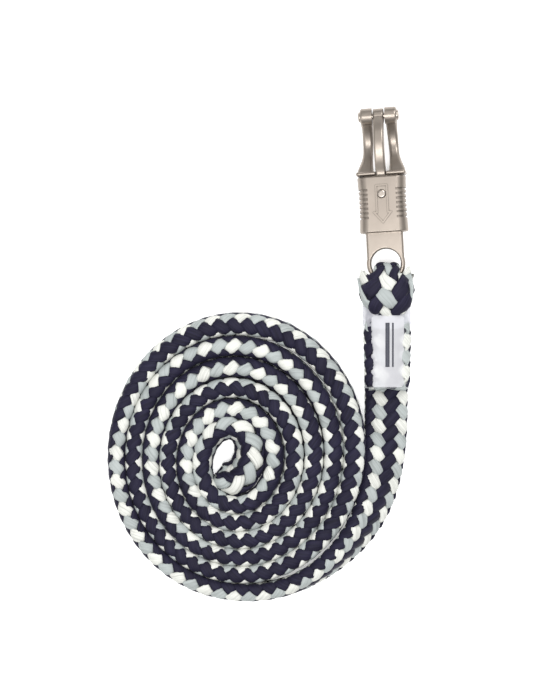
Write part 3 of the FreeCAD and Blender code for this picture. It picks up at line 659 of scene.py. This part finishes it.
LABEL_HALF, LABEL_LONG, LABEL_START = 0.0095, 0.0415, -0.0202
LABEL_CORNER = 0.0016
SHEET_LOW, SHEET_HIGH = 0.00012, 0.00030    # the label's faces, above the film
PRINT_LOW, PRINT_HIGH = 0.00031, 0.00034    # and the bars'
BAR_TOP, BAR_FOOT = -0.0245, -0.0500        # where the bars begin and end, along the splice
BAR_SIDES = ((-0.0014, 0.0010), (0.0024, 0.0034))   # left and right side of each bar


def label_point(x, y, lift):
    """A point this far above the film's upper side."""
    half, tall = film_section(y)
    drop = (1 - (1 - min(abs(x) / half, 1) ** FILM_SQUARE) ** (1 / FILM_SQUARE)) * (tall / 2)
    return leaned(x, y, tall - drop + lift)


def label_patch(x0, x1, y0, y1, low, high, corner, nx, ny):
    """A thin sheet that lies over the film, with its four corners cut off."""
    points, faces = [], []
    for lift in (low, high):
        for j in range(ny + 1):
            y = y0 + (y1 - y0) * j / ny
            near = min(abs(y - y0), abs(y1 - y))
            trim = max(0.0, corner - near)
            for i in range(nx + 1):
                x = x0 + trim + (x1 - x0 - 2 * trim) * i / nx
                points.append(label_point(x, y, lift))
    row, layer = nx + 1, (nx + 1) * (ny + 1)
    for j in range(ny):
        for i in range(nx):
            a = j * row + i
            faces.append((a, a + 1, a + 1 + row, a + row))
            faces.append((layer + a + row, layer + a + 1 + row, layer + a + 1, layer + a))
    rim = [*range(nx + 1), *(j * row + nx for j in range(1, ny + 1)),
           *(ny * row + i for i in reversed(range(nx))), *(j * row for j in range(ny - 1, 0, -1))]
    for a, b in zip(rim, rim[1:] + rim[:1]):
        faces.append((b, a, layer + a, layer + b))
    return points, faces


def label_piece():
    """The label, with plain bars where one carries its print."""
    sheet = film_material("label_film", (234, 234, 238), 0.36, 0.5, 0.1)
    ink = film_material("label_ink", (70, 72, 84), 0.55, 0.45, 0.1)
    points, faces = label_patch(-LABEL_HALF, LABEL_HALF, LABEL_START, LABEL_START - LABEL_LONG,
                                SHEET_LOW, SHEET_HIGH, LABEL_CORNER, 24, 52)
    picks = [0] * len(faces)
    for left, right in BAR_SIDES:
        more, patch = label_patch(left, right, BAR_TOP, BAR_FOOT, PRINT_LOW, PRINT_HIGH, 0.0, 2, 24)
        faces += [tuple(n + len(points) for n in face) for face in patch]
        picks += [1] * len(patch)
        points += more
    return new_object("label", np.array(points), faces, [sheet, ink], picks=picks)


label = label_piece()
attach(label, "rope")
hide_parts("splice_label")

# ---- snap -----------------------------------------------------------------------------------

for node, material, slot in (
    ("snap_frame", nickel, "snap_metal"),
    ("jaw_lever", nickel, "lever_metal"),
    ("jaw_pivot_pin", nickel_bright, "pin_metal"),
    ("release_sleeve", nickel_turned, "sleeve_metal"),
    ("sleeve_stud", nickel_bright, "pin_metal"),
    ("splice_stitching", thread, "thread"),
):
    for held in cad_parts[node].material_slots:
        held.link = "OBJECT"
        held.material = material

# ---- return spring --------------------------------------------------------------------------

SPRING_TURNS, SPRING_RADIUS = 9, 0.00165
SPRING_WIRE = 0.0003                        # half the wire's thickness
SPRING_LOW, SPRING_HIGH = -0.0197, -0.0015  # middle of its end turns, along the snap


def spring_piece(around=10, steps=28):
    """Round wire wound between the slot's lower end and the cross pin."""
    n = np.linspace(0, SPRING_TURNS, SPRING_TURNS * steps + 1)
    angle = 2 * math.pi * n + SNAP_ROLL
    outward = np.stack([np.cos(angle), 0 * n, -np.sin(angle)], axis=1)
    middle = outward * SPRING_RADIUS + np.array([0, 0, BAR_Z])
    middle[:, 1] = SPRING_LOW + (SPRING_HIGH - SPRING_LOW) * n / SPRING_TURNS
    ahead = unit(np.gradient(middle, axis=0))
    side = unit(np.cross(ahead, outward))
    turn = -np.arange(around) * 2 * math.pi / around
    rings = middle[:, None, :] + SPRING_WIRE * (side[:, None, :] * np.cos(turn)[None, :, None]
                                                + outward[:, None, :] * np.sin(turn)[None, :, None])
    quads = tube_faces(rings, 0)[0]
    last = (len(n) - 1) * around
    caps = [list(reversed(range(around))), [last + k for k in range(around)]]
    return new_object("spring", rings.reshape(-1, 3), quads.tolist() + caps, [spring_steel])


spring = spring_piece()
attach(spring, "snap_body")
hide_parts("return_spring")
# the cross pin shortens it as the sleeve is drawn back
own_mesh(spring)

# ---- floor and light ------------------------------------------------------------------------

FLOOR_GAP = 0.0002              # so that no face lies in the floor's

floor_make = Shader("floor", Base_Color=(1, 1, 1, 1), Roughness=0.9,
                    Emission_Color=(1, 1, 1, 1), Emission_Strength=0.35)
floor = new_object("floor", np.array([(-2, -2, 0), (2, -2, 0), (2, 2, 0), (-2, 2, 0)]),
                   [(0, 1, 2, 3)], [floor_make.material], soft=False)
floor.location.z = -FLOOR_GAP

world = bpy.data.worlds.new("studio")
world.use_nodes = True
world.node_tree.nodes["Background"].inputs["Color"].default_value = (1, 1, 1, 1)
world.node_tree.nodes["Background"].inputs["Strength"].default_value = 0.60
bpy.context.scene.world = world

for name, place, turn, size, power in (
    ("top", (-0.09, -0.24, 1.15), (4, 0, 0), 0.30, 5.5),
    ("key", (0.35, 0.65, 1.00), (-36, 20, 0), 0.5, 9.0),
    ("fill", (-0.75, -0.5, 1.1), (20, -34, 0), 1.2, 6.0),
):
    light_data = bpy.data.lights.new(name, "AREA")
    light_data.shape = "SQUARE"
    light_data.size = size
    light_data.energy = power
    light = bpy.data.objects.new(name, light_data)
    light.location = place
    light.rotation_euler = [math.radians(a) for a in turn]
    bpy.context.scene.collection.objects.link(light)

bpy.context.scene.view_settings.view_transform = "Standard"
